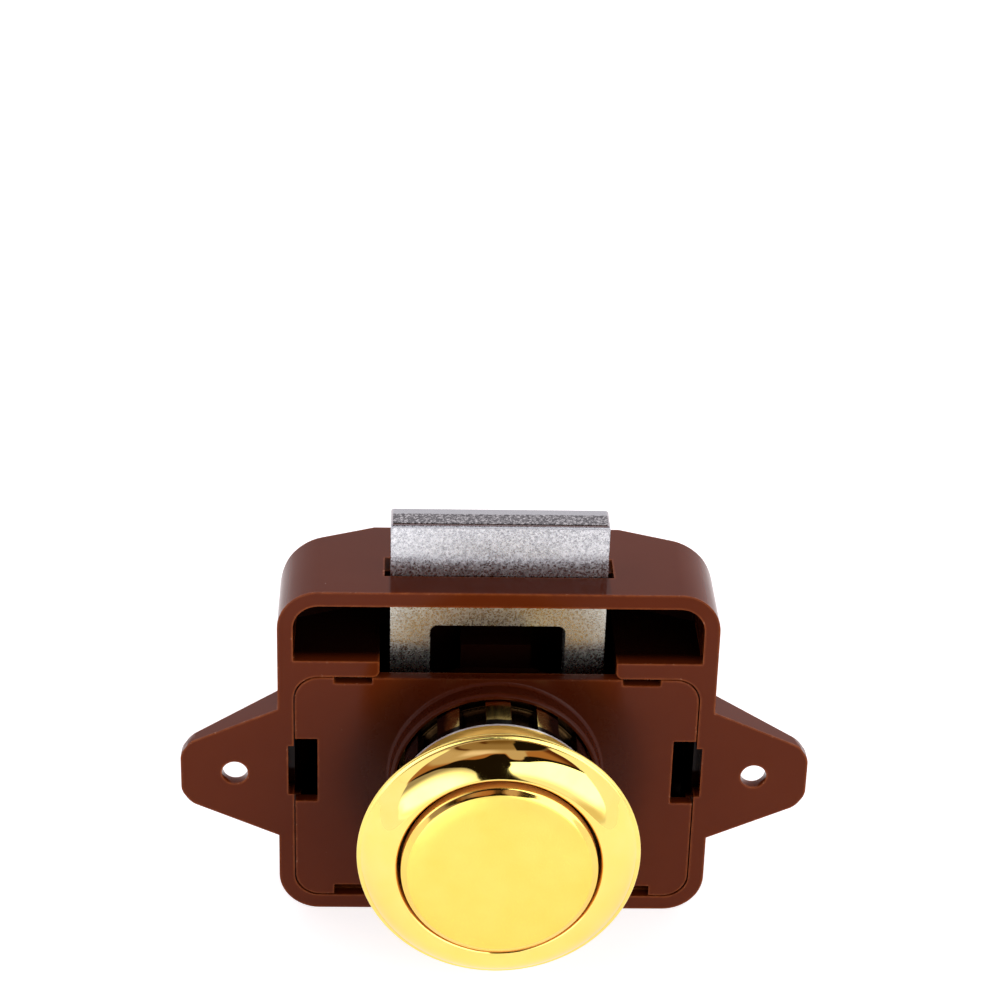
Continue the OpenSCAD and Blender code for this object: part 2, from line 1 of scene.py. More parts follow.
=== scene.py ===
# %% [markdown]
# # A push button cabinet lock
#
# The lock sits on the inside of a door. Its flat brown case holds a sprung bolt, and a round
# gold button comes through the door to a gold ring on the outside. Press the button and it pops
# out while the bolt drops into the case; press again and the bolt comes back.
#
# CAD has already fixed every size and joint, so this script adds what CAD leaves out: edges that
# catch the light, plating, moulded plastic, wire springs, a camera and a studio. A piece either
# keeps its CAD mesh and gets modifiers and a material, or a finer mesh made below stands for it.

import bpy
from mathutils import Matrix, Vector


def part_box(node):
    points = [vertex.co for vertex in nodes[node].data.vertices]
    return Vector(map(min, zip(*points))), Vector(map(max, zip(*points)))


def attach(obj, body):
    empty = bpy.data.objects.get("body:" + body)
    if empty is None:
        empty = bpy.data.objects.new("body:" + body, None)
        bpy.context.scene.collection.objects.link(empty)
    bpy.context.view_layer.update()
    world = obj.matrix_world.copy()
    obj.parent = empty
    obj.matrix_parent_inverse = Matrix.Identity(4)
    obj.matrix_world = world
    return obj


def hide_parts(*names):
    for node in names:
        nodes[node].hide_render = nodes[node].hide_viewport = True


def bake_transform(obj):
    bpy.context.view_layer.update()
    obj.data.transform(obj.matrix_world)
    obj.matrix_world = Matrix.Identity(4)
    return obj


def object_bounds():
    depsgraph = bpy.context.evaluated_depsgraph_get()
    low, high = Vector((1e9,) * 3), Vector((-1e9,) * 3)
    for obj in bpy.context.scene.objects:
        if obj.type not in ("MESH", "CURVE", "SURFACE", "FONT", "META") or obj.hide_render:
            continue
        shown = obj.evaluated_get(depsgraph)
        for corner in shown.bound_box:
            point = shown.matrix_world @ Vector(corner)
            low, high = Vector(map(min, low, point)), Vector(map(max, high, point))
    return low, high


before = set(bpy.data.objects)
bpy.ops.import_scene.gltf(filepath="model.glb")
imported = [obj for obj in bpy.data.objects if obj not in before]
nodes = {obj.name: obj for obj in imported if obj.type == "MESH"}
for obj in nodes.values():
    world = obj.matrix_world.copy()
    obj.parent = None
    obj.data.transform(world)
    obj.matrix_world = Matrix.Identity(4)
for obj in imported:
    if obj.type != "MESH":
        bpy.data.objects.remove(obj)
cad_low, cad_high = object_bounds()
print("CAD box in metres:", tuple(cad_low), tuple(cad_high))

# %% What the rest of the script leans on
import math

import bpy
import bmesh
from mathutils import Vector, Matrix

MM = 0.001
scene = bpy.context.scene
print("pieces from CAD:", ", ".join(sorted(nodes)))


def put_in_scene(name, data):
    """A new object that shows a mesh or a camera, linked into the scene."""
    item = bpy.data.objects.new(name, data)
    scene.collection.objects.link(item)
    return item

# %% [markdown]
# ## The camera
#
# The photograph was taken from above the button, a little to the left. A camera can be placed by
# eye, or worked out from edges whose sizes are known. Here it was worked out: the screw holes, the
# case's corners and the ring's rim each had to land where the photograph has them. That gives the
# direction, tilt, distance and focal length below.

# %% Where the camera stands
image_size = 1001
focal_pixels = 2800.875
camera_azimuth = math.radians(-2.3695)
camera_elevation = math.radians(27.3535)
camera_roll = math.radians(1.702)
camera_distance = 345.4175 * MM
origin_right_pixels = -5.5065
origin_down_pixels = 274.1685

camera_back = Vector((
    math.sin(camera_azimuth) * math.cos(camera_elevation),
    -math.cos(camera_azimuth) * math.cos(camera_elevation),
    math.sin(camera_elevation),
))
level_right = Vector((math.cos(camera_azimuth), math.sin(camera_azimuth), 0))
level_up = camera_back.cross(level_right)
camera_right = level_right * math.cos(camera_roll) + level_up * math.sin(camera_roll)
camera_up = level_up * math.cos(camera_roll) - level_right * math.sin(camera_roll)
print("from the lock towards the camera:", [round(v, 4) for v in camera_back])

# %% The camera object
metres_per_pixel = camera_distance / focal_pixels
camera_place = (
    camera_back * camera_distance
    - camera_right * (origin_right_pixels * metres_per_pixel)
    + camera_up * (origin_down_pixels * metres_per_pixel)
)
camera_data = bpy.data.cameras.new("photo_camera")
camera_data.sensor_fit = "HORIZONTAL"
camera_data.sensor_width = 36
camera_data.lens = focal_pixels / image_size * camera_data.sensor_width
camera_data.clip_start = 0.01
camera = put_in_scene("photo_camera", camera_data)
camera_turn = Matrix((camera_right, camera_up, camera_back)).transposed().to_4x4()
camera.matrix_world = Matrix.Translation(camera_place) @ camera_turn
scene.camera = camera
scene.view_settings.view_transform = "Standard"
print(f"camera: {camera_data.lens:.1f} mm lens at {[round(v, 4) for v in camera_place]}")

# %% [markdown]
# ## Node helpers
#
# A material in Blender is a small network of nodes. Building one in code takes three steps again
# and again: add a node, set its sockets, and wire it. One helper does all three, and the others do
# sums, soft steps and mixtures. Most painting below uses masks: numbers from 0 to 1 that say how
# much of a colour a place gets. Two masks multiplied give the places that are in both.

# %% Add nodes to a material or to the world
def add_node(tree, kind, sockets=None, **settings):
    """A new node, with settings, and with links, numbers or colours on its input sockets."""
    node = tree.nodes.new(kind)
    for name, value in settings.items():
        setattr(node, name, value)
    for name, value in (sockets or {}).items():
        if isinstance(value, bpy.types.NodeSocket):
            tree.links.new(value, node.inputs[name])
        elif isinstance(value, tuple):
            node.inputs[name].default_value = (*value, 1.0)
        else:
            node.inputs[name].default_value = value
    return node


def maths(tree, operation, first, second=0.0):
    """The result of one sum on two numbers or links."""
    node = add_node(tree, "ShaderNodeMath", {0: first, 1: second}, operation=operation)
    return node.outputs[0]


def product(tree, *masks):
    """All the masks or numbers multiplied; for masks, 1 where every one of them is 1."""
    result = masks[0]
    for mask in masks[1:]:
        result = maths(tree, "MULTIPLY", result, mask)
    return result


def fade(tree, value, low, high, to_low=0.0, to_high=1.0):
    """A soft step: to_low where value is under low, to_high where it is over high."""
    node = add_node(
        tree, "ShaderNodeMapRange",
        {"Value": value, "From Min": low, "From Max": high, "To Min": to_low, "To Max": to_high},
        interpolation_type="SMOOTHSTEP",
    )
    return node.outputs[0]


def mix(tree, factor, first, second):
    """A colour that goes from first to second as factor goes from 0 to 1."""
    # This node has sockets for numbers, vectors and colours; 6 and 7 are its two colours.
    node = add_node(
        tree, "ShaderNodeMix", {0: factor, 6: first, 7: second},
        data_type="RGBA", clamp_factor=True,
    )
    return node.outputs[2]


def split(tree, place):
    """The three parts of a place or a direction."""
    return add_node(tree, "ShaderNodeSeparateXYZ", {0: place}).outputs

# %% [markdown]
# ## The studio
#
# Polished gold has no colour of its own to speak of: it shows the room. The photograph's ring shows
# which room that was. Two big white sheets stand left and right of the camera, with an upright
# black gap between them and black along their top edges. Above them the room is dim, orange and
# tan, with a black patch high on the right. At the sides, behind and below all is pale.
#
# The light here is a world painted in those zones. Every direction has an azimuth, 0 straight ahead
# towards the camera and 90 to the right, and an elevation above the horizon. A zone's border is a
# curve that gives an elevation for every azimuth. The paint depends on the direction in the room
# and on nothing else, so it is the same for every view.

# %% Colours of the zones, 1 being the level at which a white thing renders white
left_sheet = (2.6, 2.6, 2.8)
left_sheet_top = (0.36, 0.30, 0.38)
right_sheet = (2.6, 2.6, 2.7)
right_sheet_low = (1.1, 1.05, 1.15)
seam = (0.72, 0.54, 0.36)
pale_wall = (1.10, 1.06, 1.14)
wall_behind = (1.10, 0.98, 1.00)
orange_strip = (0.38, 0.16, 0.09)
orange_far = (0.10, 0.025, 0.010)
tan_wall = (0.55, 0.40, 0.43)
tan_light = (0.84, 0.66, 0.92)
dim_ceiling = (0.30, 0.19, 0.15)
top_ceiling = (0.17, 0.09, 0.05)
dark_line = (0.09, 0.03, 0.01)
black = (0.010, 0.006, 0.004)
seen_white = (1.0, 1.0, 1.0)

# %% Azimuth and elevation of every direction, scaled so that 0 to 1 stands for -90 to 90 degrees
world = bpy.data.worlds.new("studio_room")
world.use_nodes = True
scene.world = world
air = world.node_tree
air.nodes.clear()
direction = add_node(air, "ShaderNodeTexCoord").outputs["Generated"]
x, y, z = split(air, direction)
forward = product(air, y, -1.0)
azimuth = product(air, maths(air, "ARCTAN2", x, forward), 1 / math.pi)
azimuth = maths(air, "ADD", azimuth, 0.5)
elevation = product(air, maths(air, "ARCSINE", z), 1 / math.pi)
elevation = maths(air, "ADD", elevation, 0.5)


def scaled(degrees):
    """Degrees from -90 to 90 as a number from 0 to 1."""
    return degrees / 180 + 0.5


def above(points, soft):
    """1 above a border given by points of azimuth and elevation, 0 under it, all in degrees."""
    node = add_node(air, "ShaderNodeFloatCurve", {"Value": azimuth})
    node.mapping.extend = "HORIZONTAL"
    curve = node.mapping.curves[0]
    curve.points[0].location = (scaled(points[0][0]), scaled(points[0][1]))
    curve.points[1].location = (scaled(points[-1][0]), scaled(points[-1][1]))
    for across, up in points[1:-1]:
        curve.points.new(scaled(across), scaled(up))
    for point in curve.points:
        point.handle_type = "AUTO_CLAMPED"
    node.mapping.update()
    height = maths(air, "SUBTRACT", elevation, node.outputs[0])
    return fade(air, height, -soft / 180, soft / 180)


def right_of(degrees, soft):
    """1 to the right of an azimuth in degrees, 0 to the left of it."""
    return fade(air, azimuth, scaled(degrees - soft), scaled(degrees + soft))


def higher_than(degrees, soft):
    """1 above an elevation in degrees, 0 below it."""
    return fade(air, elevation, scaled(degrees - soft), scaled(degrees + soft))


def not_in(mask):
    """1 where the mask is 0."""
    return maths(air, "SUBTRACT", 1.0, mask)


print("world nodes so far:", len(air.nodes))

# %% The dim part of the room, above and between the pale walls
dim_top = mix(air, higher_than(60, 5), tan_wall, dim_ceiling)
dim_top = mix(air, higher_than(78, 7), dim_top, top_ceiling)
light_tan = product(
    air, right_of(-38, 8), not_in(right_of(-4, 12)), higher_than(48, 4), not_in(higher_than(59, 5)),
)
dim_top = mix(air, light_tan, dim_top, tan_light)
over_orange = above(
    [(-75, 40), (-64, 38), (-54, 37), (-46, 37), (-38, 37), (-28, 40), (-18, 46), (-8, 50), (6, 50),
     (9, 32), (18, 35), (24, 46), (32, 57), (50, 59), (75, 59)], 3,
)
orange = mix(air, right_of(62, 8), orange_strip, orange_far)
dim_top = mix(air, over_orange, orange, dim_top)
dim_border = above(
    [(-90, 58), (-82, 55), (-76, 42), (-71, 30), (-64, 18), (-40, 15), (40, 20), (60, 26),
     (70, 30), (76, 42), (81, 54), (90, 58)], 2,
)
walls = mix(air, fade(air, forward, -0.55, -0.30), wall_behind, pale_wall)
room = mix(air, dim_border, walls, dim_top)
print("world nodes so far:", len(air.nodes))

# %% Black: a patch high on the right, two thin lines high on the left, the band over the sheets
patch_top = above([(20, 57), (23, 62), (27, 68), (32, 72), (40, 76), (52, 78), (90, 80)], 1.2)
patch = product(air, not_in(patch_top), higher_than(58.5, 1.5), right_of(21, 1))
room = mix(air, patch, room, black)
lower_line = product(air, higher_than(60.5, 1), not_in(higher_than(63.5, 1.5)))
upper_line = product(air, higher_than(77, 1.5), not_in(higher_than(81, 2)))
lines = maths(air, "MAXIMUM", lower_line, upper_line)
room = mix(air, product(air, lines, not_in(right_of(-44, 8))), room, dark_line)
band_top = above(
    [(-63, 20), (-60, 24), (-55, 28), (-50, 31), (-44, 33), (-37, 35), (-33, 38), (-28, 39),
     (-22, 38), (-15, 36), (-10, 38), (-6, 46), (-2, 48), (4, 48), (6, 45), (8, 33),
     (12, 31), (16, 35), (21, 43), (30, 44.5), (39, 43), (48, 41), (58, 38), (66, 34), (72, 30)], 1.5,
)
band = product(air, not_in(band_top), right_of(-62, 1), not_in(right_of(72, 1)))
low_end = above(
    [(-63, 20), (-55, 8), (-47, -1), (-37, -9.5), (-28, -17), (-19, -21.5), (-10, -26.5), (0, -31),
     (6, -31), (16, -27), (26, -21.5), (36, -16.5), (45, -10), (54, -2.5), (60, 6.5), (64, 14),
     (68, 22), (72, 28)], 1.5,
)
room = mix(air, product(air, band, low_end), room, black)
print("world nodes so far:", len(air.nodes))

# %% The two sheets
left_top = above(
    [(-62, 19), (-55, 22.5), (-47.5, 25.5), (-38.5, 28), (-31, 26.5), (-22, 22.5), (-15, 17.5),
     (-11, 12), (-7.5, 5), (-5, -2.5), (-3, -11), (-0.5, -22), (1.5, -30)], 0.9,
)
left_dim = above(
    [(-62, -4), (-50, 4), (-40, 10), (-30, 13), (-22, 12), (-15, 8), (-10, 2), (-5, -8), (0, -26)], 13,
)
left_colour = mix(air, left_dim, left_sheet, left_sheet_top)
left_part = product(air, not_in(left_top), low_end, not_in(right_of(1, 0.5)))
room = mix(air, left_part, room, left_colour)
right_top = above(
    [(4, 23), (6.5, 24), (11.5, 26), (17, 28), (22.5, 31.5), (30, 35), (37, 36.5), (45, 36),
     (54, 34), (60, 31.5), (66, 29), (72, 26)], 0.9,
)
right_colour = mix(air, higher_than(-9, 9), right_sheet_low, right_sheet)
right_edge = maths(air, "ADD", azimuth, fade(air, elevation, scaled(2), scaled(22), 0.0, -2 / 180))
right_start = fade(air, right_edge, scaled(3.8), scaled(4.8))
right_part = product(air, not_in(right_top), low_end, right_start)
room = mix(air, right_part, room, right_colour)
print("world nodes so far:", len(air.nodes))

# %% A thin tan seam along the sheets' slanted sides, and what the camera sees past the floor
seam_in = above(
    [(-63, 23), (-55, 11), (-47, 2), (-37, -6.5), (-28, -14), (-19, -18.5), (-10, -23.5), (0, -28),
     (6, -28), (16, -20), (26, -14), (36, -10), (45, -5), (54, 1), (60, 9), (64, 16.5), (72, 30)], 3,
)
seam_strength = 0.75
on_sheets = maths(air, "MAXIMUM", left_part, right_part)
seam_part = product(
    air, not_in(seam_in), low_end, right_of(-40, 18), not_in(right_of(44, 18)),
    on_sheets, seam_strength,
)
room = mix(air, seam_part, room, seam)
seen_direct = add_node(air, "ShaderNodeLightPath").outputs["Is Camera Ray"]
room = mix(air, seen_direct, room, seen_white)
light = add_node(air, "ShaderNodeBackground", {"Color": room, "Strength": 1.0})
add_node(air, "ShaderNodeOutputWorld", {"Surface": light.outputs[0]})
print("world nodes:", len(air.nodes))

# %% [markdown]
# The floor is pale and lies under the case. A diffuse floor alone would come out grey, as it throws
# back only part of the light. A little glow for the camera, and for what mirrors the floor, lifts
# it to the photograph's white. The lock's shadow stays, because the glow is a part of the sum only.

# %% The floor's paint
floor_z = cad_low.z
floor_colour = (0.80, 0.80, 0.80)
floor_glow = 0.74
mirrored_share = 0.84

floor_paint = bpy.data.materials.new("pale_floor")
floor_paint.use_nodes = True
tree = floor_paint.node_tree
tree.nodes.clear()
path = add_node(tree, "ShaderNodeLightPath")
in_metal = product(tree, path.outputs["Is Glossy Ray"], mirrored_share)
seen = maths(tree, "MAXIMUM", path.outputs["Is Camera Ray"], in_metal)
seen = maths(tree, "MAXIMUM", seen, path.outputs["Is Transmission Ray"])
glow_strength = product(tree, seen, floor_glow)
matt = add_node(tree, "ShaderNodeBsdfDiffuse", {"Color": floor_colour})
glow = add_node(tree, "ShaderNodeEmission", {"Strength": glow_strength})
both = add_node(tree, "ShaderNodeAddShader", {0: matt.outputs[0], 1: glow.outputs[0]})
add_node(tree, "ShaderNodeOutputMaterial", {"Surface": both.outputs[0]})
print("floor paint:", len(tree.nodes), "nodes")

# %% [markdown]
# In the ring the white paper ends about 75 mm in front of the lock, and the sheets of light and the
# gap go on below it. So the floor is two planes. The front one is there for the camera and for
# soft light, and polished metal looks straight through it at the room's painted zones.

# %% The floor in two parts
floor_half = 1.5
paper_end = -75 * MM


def lay_floor(name, near, far):
    """A part of the floor between two depths."""
    mesh = bpy.data.meshes.new(name)
    mesh.from_pydata(
        [(-floor_half, near, floor_z), (floor_half, near, floor_z),
         (floor_half, far, floor_z), (-floor_half, far, floor_z)],
        [], [(0, 1, 2, 3)],
    )
    mesh.materials.append(floor_paint)
    plane = put_in_scene(name, mesh)
    print(name, "from y =", near, "to", far)
    return plane


lay_floor("floor", paper_end, floor_half)
floor_in_front = lay_floor("floor_in_front", -floor_half, paper_end)
floor_in_front.visible_glossy = False

# %% [markdown]
# ## Brown moulded plastic
#
# The case, its ears and the front insert are one glossy chocolate brown plastic. It came out of a
# polished mould, so the surface is smooth but not flat: it waves a little where the plastic shrank.
# Light gets a short way into it, which warms thin edges. A flat colour would look like paint, so
# noise moves colour, gloss and height a little, each at the size that the real thing shows.

# %% A start for every finish
def new_finish(name):
    """An empty material with a Principled shader; returns the material, its nodes and the shader."""
    finish = bpy.data.materials.new(name)
    finish.use_nodes = True
    tree = finish.node_tree
    tree.nodes.clear()
    shader = add_node(tree, "ShaderNodeBsdfPrincipled")
    add_node(tree, "ShaderNodeOutputMaterial", {"Surface": shader.outputs[0]})
    return finish, tree, shader


def wire_finish(finish, shader, colour, roughness, normal, metal=0.0):
    """Wire colour, roughness and bumps to the shader; metal is 1 for metal and 0 for plastic."""
    for name, link in (("Base Color", colour), ("Roughness", roughness), ("Normal", normal)):
        finish.node_tree.links.new(link, shader.inputs[name])
    shader.inputs["Metallic"].default_value = metal
    print(finish.name, len(finish.node_tree.nodes), "nodes")


def piece_place(tree):
    """Where a point lies on its piece, in metres."""
    return add_node(tree, "ShaderNodeTexCoord").outputs["Object"]


def past(tree, length, border, soft):
    """1 where a length is over the border, 0 where it is under it; border and softness in mm."""
    return fade(tree, length, (border - soft) * MM, (border + soft) * MM)


def short_of(tree, length, border, soft):
    """1 where a length is under the border, 0 where it is over it; border and softness in mm."""
    return fade(tree, length, (border - soft) * MM, (border + soft) * MM, 1.0, 0.0)


def noise(tree, place, size, detail=2.0, roughness=0.5):
    """Noise with lumps of the given size in metres."""
    node = add_node(
        tree, "ShaderNodeTexNoise",
        {"Vector": place, "Scale": 1 / size, "Detail": detail, "Roughness": roughness},
    )
    return node.outputs[0]


def bumps(tree, heights, depth, over=None):
    """The tilts of a surface with bumps of a depth in metres, perhaps on top of larger bumps."""
    sockets = {"Height": heights, "Distance": depth, "Strength": 1.0}
    if over is not None:
        sockets["Normal"] = over
    return add_node(tree, "ShaderNodeBump", sockets).outputs[0]

# %% Brown plastic: two close browns, and along the edges a paler painted glow and torn flecks
brown_deep = (0.124, 0.0200, 0.0032)
brown_light = (0.142, 0.0255, 0.0052)
edge_glow_brown = (0.40, 0.105, 0.026)
fleck = (0.70, 0.33, 0.18)
edge_reach = 0.5 * MM

brown_plastic, tree, shader = new_finish("brown_plastic")
place = piece_place(tree)
flow = noise(tree, place, 6 * MM, 3.0)
colour = mix(tree, flow, brown_deep, brown_light)
rounded_normal = add_node(tree, "ShaderNodeBevel", {"Radius": edge_reach}, samples=4).outputs[0]
true_normal = add_node(tree, "ShaderNodeNewGeometry").outputs["True Normal"]
sameness = add_node(
    tree, "ShaderNodeVectorMath", {0: rounded_normal, 1: true_normal}, operation="DOT_PRODUCT"
).outputs["Value"]
edge = fade(tree, sameness, 0.86, 0.998, 1.0, 0.0)
uneven = fade(tree, noise(tree, place, 1.5 * MM), 0.25, 0.75, 0.45, 1.0)
# Painted light: edges turn a paler orange brown, for the light that gets into thin plastic and catches
# its rounds.
colour = mix(tree, product(tree, edge, uneven), colour, edge_glow_brown)
torn = fade(tree, noise(tree, place, 0.55 * MM, 4.0, 0.7), 0.62, 0.66)
colour = mix(tree, product(tree, edge, torn), colour, fleck)
print("brown plastic so far:", len(tree.nodes), "nodes")

# %% [markdown]
# In the photograph the pockets beside the bolt and the recesses beside the insert's windows are
# nearly black, and the render's soft room would fill them with light. So the plastic is painted
# darker inside the case. The mask follows the case's inner walls, slanted back and recesses.

# %% Painted shade inside the case, sizes in millimetres
painted_inside_shade = (0.010, 0.0022, 0.0010)
inner_side = 24.75
inner_top = 23.6
inner_bottom = -18.1
recess_middle = 0.45
recess_half = 3.6
recess_depth = 0.75
back_flat_half = 15.2
back_slope = 0.43

x, y, z = split(tree, place)
aside = maths(tree, "ABSOLUTE", x)
from_recess = maths(tree, "ABSOLUTE", maths(tree, "SUBTRACT", z, recess_middle * MM))
recess = product(tree, short_of(tree, from_recess, recess_half, 0.05), recess_depth * MM)
within = short_of(tree, maths(tree, "SUBTRACT", aside, recess), inner_side, 0.05)
past_flat = maths(tree, "SUBTRACT", aside, back_flat_half * MM)
slant = product(tree, maths(tree, "MAXIMUM", past_flat, 0.0), back_slope)
to_back = maths(tree, "SUBTRACT", cad_high.y, maths(tree, "ADD", y, slant))
inside_shade_mask = product(
    tree, within, short_of(tree, z, inner_top, 0.05), past(tree, z, inner_bottom, 0.05),
    fade(tree, y, 0.1 * MM, 2.6 * MM), fade(tree, to_back, 0.8 * MM, 1.1 * MM),
)
# Painted shade: a nearly black brown in the pockets, recesses and on the inner walls.
colour = mix(tree, inside_shade_mask, colour, painted_inside_shade)
print("brown plastic so far:", len(tree.nodes), "nodes")

# %% A speck of dust in some cells of a grid
dust = (0.45, 0.30, 0.22)
speck_spacing = 1.9 * MM
speck_radius = 0.045 * MM / speck_spacing
speck_share = 0.13

cells = add_node(tree, "ShaderNodeTexVoronoi", {"Vector": place, "Scale": 1 / speck_spacing})
pick = add_node(tree, "ShaderNodeSeparateColor", {0: cells.outputs["Color"]})
speck = fade(tree, cells.outputs["Distance"], speck_radius, 1.6 * speck_radius, 1.0, 0.0)
speck = product(tree, speck, maths(tree, "LESS_THAN", pick.outputs[0], speck_share))
colour = mix(tree, speck, colour, dust)
print("one cell in", round(1 / speck_share), "holds a speck")

# %% [markdown]
# The glossy front mirrors the dark back of the ring, and the bolt. A mirror image slides when the
# camera moves, so it isn't painted as such. A soft shade all round the collar and one on the strip
# in front of the bolt stand for it from every side.

# %% Shade round the collar and in front of the bolt, and the gloss
brown_shade = (0.050, 0.0070, 0.0010)
collar_shade = 0.85
shade_radius = 18.0
shade_fade = 3.0
insert_front = 1.1
bolt_shade = 0.6
strip_half = 13.3
strip_front = 0.35
strip_back = 4.5
case_top = 25.35
shade_gloss_loss = 0.2

round_axis = add_node(tree, "ShaderNodeCombineXYZ", {0: x, 1: z})
from_axis = add_node(tree, "ShaderNodeVectorMath", {0: round_axis.outputs[0]}, operation="LENGTH")
near_collar = short_of(tree, from_axis.outputs["Value"], shade_radius, shade_fade)
by_collar = product(tree, near_collar, short_of(tree, y, insert_front, 0.2), collar_shade)
colour = mix(tree, by_collar, colour, brown_shade)
by_bolt = product(
    tree, short_of(tree, aside, strip_half, 0.2), past(tree, z, case_top, 0.05),
    past(tree, y, strip_front, 0.1), short_of(tree, y, strip_back, 0.3), bolt_shade,
)
colour = mix(tree, by_bolt, colour, brown_shade)
haze = fade(tree, noise(tree, place, 2.5 * MM, 4.0, 0.7), 0.3, 0.8, 0.09, 0.17)
haze = maths(tree, "ADD", haze, product(tree, by_collar, shade_gloss_loss))
waves = bumps(tree, noise(tree, place, 4 * MM, 1.0), 0.012 * MM)
grit = bumps(tree, noise(tree, place, 0.25 * MM, 2.0), 0.0009 * MM, over=waves)
shader.inputs["Specular IOR Level"].default_value = 0.12
wire_finish(brown_plastic, shader, colour, haze, grit)

# %% [markdown]
# ## Gold plate
#
# Ring and button are turned brass or zinc with a thin bright gold plate. A metal colours what it
# mirrors, so the base colour is the gold and everything else comes from the room. Real plating
# has a faint orange peel, which bends the reflections a little, and a few fine wipe marks.

# %% A gold finish of any smoothness
def new_gold(name, deep, pale, smooth, rough, depth, patch=2.0, grain=0.3, metal=1.0):
    """Gold in patches of two colours, with roughness and bumps that follow a grain, sizes in mm."""
    finish, tree, shader = new_finish(name)
    place = piece_place(tree)
    cloud = noise(tree, place, patch * MM, 3.0)
    marks = noise(tree, place, grain * MM, 3.0, 0.6)
    colour = mix(tree, cloud, deep, pale)
    haze = fade(tree, marks, 0.3, 0.8, smooth, rough)
    waves = marks if grain < 0.5 else noise(tree, place, 1.6 * MM, 1.0)
    wire_finish(finish, shader, colour, haze, bumps(tree, waves, depth * MM), metal)
    return finish

# %% Four golds: polished, satin for the disc, soft for round edges, rough for bores and sides
polished_gold = new_gold(
    "polished_gold", deep=(1.0, 0.76, 0.17), pale=(1.0, 0.83, 0.25),
    smooth=0.022, rough=0.055, depth=0.0015, patch=3.0, grain=1.2,
)
satin_gold = new_gold(
    "satin_gold", deep=(0.99, 0.70, 0.12), pale=(1.0, 0.79, 0.18),
    smooth=0.27, rough=0.36, depth=0.0025, patch=4.0, grain=0.09,
)
soft_gold = new_gold(
    "soft_gold", deep=(1.0, 0.76, 0.17), pale=(1.0, 0.85, 0.25),
    smooth=0.16, rough=0.26, depth=0.001,
)
rough_gold = new_gold(
    "rough_gold", deep=(0.95, 0.42, 0.07), pale=(1.0, 0.56, 0.13),
    smooth=0.34, rough=0.46, depth=0.002, metal=0.45,
)

# %% [markdown]
# Where the plating is thin it is dull, as on the ring's back. The skirt's thin back edge gets a pale,
# mostly matt metal as a painted highlight, and the inside of the neck and the button's barrel get a
# nearly black metal as painted shade. In a gap next to plastic a full metal would mirror only the
# dark gap, so the skirt and the bores are made half metal, half paint.

# %% Pale metal for a painted highlight, more golds, and dark metal for painted shade
pale_edge_highlight = new_gold(
    "pale_edge_highlight", deep=(0.84, 0.82, 0.80), pale=(0.94, 0.93, 0.92),
    smooth=0.2, rough=0.3, depth=0.001, patch=1.0, metal=0.3,
)
edge_gold = new_gold(
    "edge_gold", deep=(1.0, 0.66, 0.13), pale=(1.0, 0.74, 0.19),
    smooth=0.08, rough=0.15, depth=0.0008,
)
skirt_gold = new_gold(
    "skirt_gold", deep=(1.0, 0.60, 0.10), pale=(1.0, 0.70, 0.15),
    smooth=0.18, rough=0.28, depth=0.001, metal=0.5,
)
dull_gold = new_gold(
    "dull_gold", deep=(0.42, 0.25, 0.06), pale=(0.60, 0.38, 0.11),
    smooth=0.25, rough=0.40, depth=0.002, patch=1.5, grain=0.4,
)
shade_black_metal = new_gold(
    "shade_black_metal", deep=(0.030, 0.016, 0.006), pale=(0.060, 0.034, 0.012),
    smooth=0.25, rough=0.45, depth=0.002, patch=1.5, grain=0.4,
)

# %% Neck gold, bright on top, with painted dark reflections round the sides, painted shade close to the case and a painted shadow by the skirt
neck_deep = (0.85, 0.60, 0.17)
neck_pale = (1.0, 0.76, 0.27)
neck_shade_dark = (0.10, 0.035, 0.012)

neck_gold, tree, shader = new_finish("neck_gold")
place = piece_place(tree)
x, y, z = split(tree, place)
cloud = noise(tree, place, 1.8 * MM, 4.0, 0.6)
aside = maths(tree, "ABSOLUTE", x)
ragged = maths(tree, "ADD", aside, product(tree, cloud, 1.5 * MM))
near_case = past(tree, y, -2.2, 0.4)
# Painted reflection and shade: the sides mirror dark things, and the end by the case lies in shade.
dark_sides_and_case = maths(tree, "MAXIMUM", past(tree, ragged, 6.85, 0.55), near_case)
skirt_shadow_band = short_of(tree, y, -6.55, 0.15)
colour = mix(tree, cloud, neck_deep, neck_pale)
colour = mix(tree, dark_sides_and_case, colour, neck_shade_dark)
# Painted shadow: a black band beside the skirt.
colour = mix(tree, skirt_shadow_band, colour, black)
haze = fade(tree, cloud, 0.3, 0.8, 0.10, 0.20)
waves = bumps(tree, noise(tree, place, 0.9 * MM, 2.0), 0.003 * MM)
wire_finish(neck_gold, shader, colour, haze, waves, metal=1.0)

# %% [markdown]
# ## Zinc, spring wire and the plastics inside
#
# The bolt is a flat piece of steel with a tumbled zinc coat. Close up it is a mass of grey grains,
# each a fifth of a millimetre, some brighter and smoother than others. The springs and the latch
# wire are drawn steel with fine marks along them. The bush is a plain milky plastic, and the
# plunger the same brown as the case but matt, because nobody sees it.

# %% Grainy zinc
zinc_dark = (0.42, 0.44, 0.46)
zinc_light = (0.92, 0.94, 0.95)
coarse_zinc_shaded = (0.09, 0.095, 0.105)
zinc_bright = (0.52, 0.55, 0.57)
zinc_back = (0.43, 0.47, 0.50)
zinc_round = (0.50, 0.51, 0.53)
zinc_warm_reflection = (0.74, 0.76, 0.65)
bolt_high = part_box("bolt_plate")[1]
bolt_end = bolt_high.z / MM
bolt_back = bolt_high.y / MM
case_mouth = 24.9
warm_reflection_share = 0.7
grain_size = 0.17 * MM

